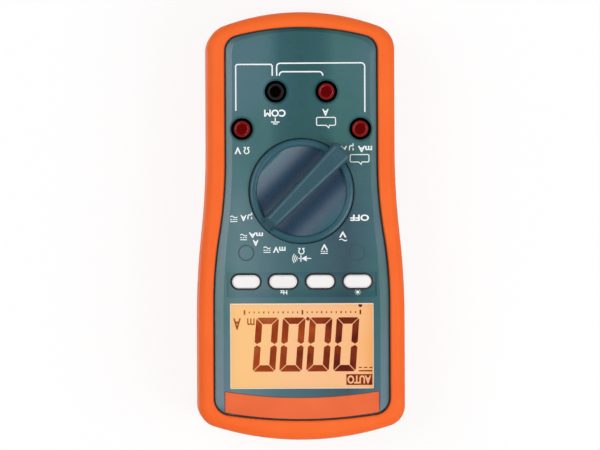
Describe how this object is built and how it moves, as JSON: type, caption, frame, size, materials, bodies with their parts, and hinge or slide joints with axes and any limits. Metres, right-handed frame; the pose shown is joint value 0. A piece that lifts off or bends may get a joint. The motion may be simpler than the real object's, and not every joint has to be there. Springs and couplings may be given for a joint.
{
  "type": "digital multimeter",
  "caption": "Hand-held digital multimeter in a rubber holster: lit display, oval push keys, rotary selector knob, recessed input jacks and a fold-out stand.",
  "frame": {"origin": "middle of the holster's back face, on the surface the meter lies on", "axes": "+Z out of the front panel, +Y towards the display end, +X to the reader's right"},
  "size_m": [0.078, 0.1618, 0.0499],
  "materials": {
    "holster_rubber": "matte",
    "case_plastic": "satin",
    "plate_orange": "satin",
    "window_clear": "gloss",
    "display_amber": "gloss",
    "backlight_white": "matte",
    "black_plastic": "satin",
    "white_plastic": "satin",
    "contact_rubber": "matte",
    "knob_plastic": "gloss",
    "key_white": "satin",
    "jack_red": "gloss",
    "board_green": "satin",
    "component_blue": "gloss",
    "ceramic_white": "satin",
    "battery_jacket": "gloss",
    "steel": "satin",
    "spring_steel": "satin",
    "nickel": "gloss",
    "brass": "satin"
  },
  "bodies": {
    "meter": {"holster": "holster_rubber", "front_case": "case_plastic", "rear_case": "case_plastic", "battery_door": "case_plastic", "battery_door_screw": "steel", "case_screws": "steel", "board_screws": "steel", "display_window": "window_clear", "name_plate": "plate_orange", "lcd_glass": "display_amber", "lcd_bezel": "black_plastic", "backlight_panel": "backlight_white", "zebra_strips": "contact_rubber", "detent_ring": "white_plastic", "keypad_membrane": "contact_rubber", "main_board": "board_green", "meter_chip": "black_plastic", "buzzer": "black_plastic", "board_components": "component_blue", "shunt_wire": "spring_steel", "fuse_bodies": "ceramic_white", "fuse_caps": "nickel", "fuse_clips": "brass", "battery_1": "battery_jacket", "battery_2": "battery_jacket", "battery_contacts": "nickel", "battery_springs": "spring_steel", "jack_shroud_common": "black_plastic", "jack_sleeve_common": "black_plastic", "jack_contact_common": "brass", "jack_shroud_amp": "black_plastic", "jack_sleeve_amp": "jack_red", "jack_contact_amp": "brass", "jack_shroud_volt": "black_plastic", "jack_sleeve_volt": "jack_red", "jack_contact_volt": "brass", "jack_shroud_milliamp": "black_plastic", "jack_sleeve_milliamp": "jack_red", "jack_contact_milliamp": "brass"},
    "selector": {"selector_knob": "knob_plastic", "selector_screw": "steel", "selector_rotor": "black_plastic", "detent_rollers": "steel", "detent_springs": "spring_steel", "wiper_contacts": "brass"},
    "key_select_button": {"key_select": "key_white"},
    "key_range_button": {"key_range": "key_white"},
    "key_hold_button": {"key_hold": "key_white"},
    "key_relative_button": {"key_relative": "key_white"},
    "stand": {"tilt_stand": "case_plastic"}
  },
  "joints": [
    {"name": "selector_turn", "type": "hinge", "parent": "meter", "child": "selector", "pos_m": [0, -0.01315, 0.038], "axis": [0, 0, 1], "range_deg": [-22.5, 112.5]},
    {"name": "key_select_press", "type": "slide", "parent": "meter", "child": "key_select_button", "axis": [0, 0, -1], "range_m": [0, 0.0008], "stiffness_N_per_m": 400},
    {"name": "key_range_press", "type": "slide", "parent": "meter", "child": "key_range_button", "axis": [0, 0, -1], "range_m": [0, 0.0008], "stiffness_N_per_m": 400},
    {"name": "key_hold_press", "type": "slide", "parent": "meter", "child": "key_hold_button", "axis": [0, 0, -1], "range_m": [0, 0.0008], "stiffness_N_per_m": 400},
    {"name": "key_relative_press", "type": "slide", "parent": "meter", "child": "key_relative_button", "axis": [0, 0, -1], "range_m": [0, 0.0008], "stiffness_N_per_m": 400},
    {"name": "stand_swing", "type": "hinge", "parent": "meter", "child": "stand", "pos_m": [0, 0.0256, 0.0024], "axis": [1, 0, 0], "range_deg": [0, 60]}
  ]
}
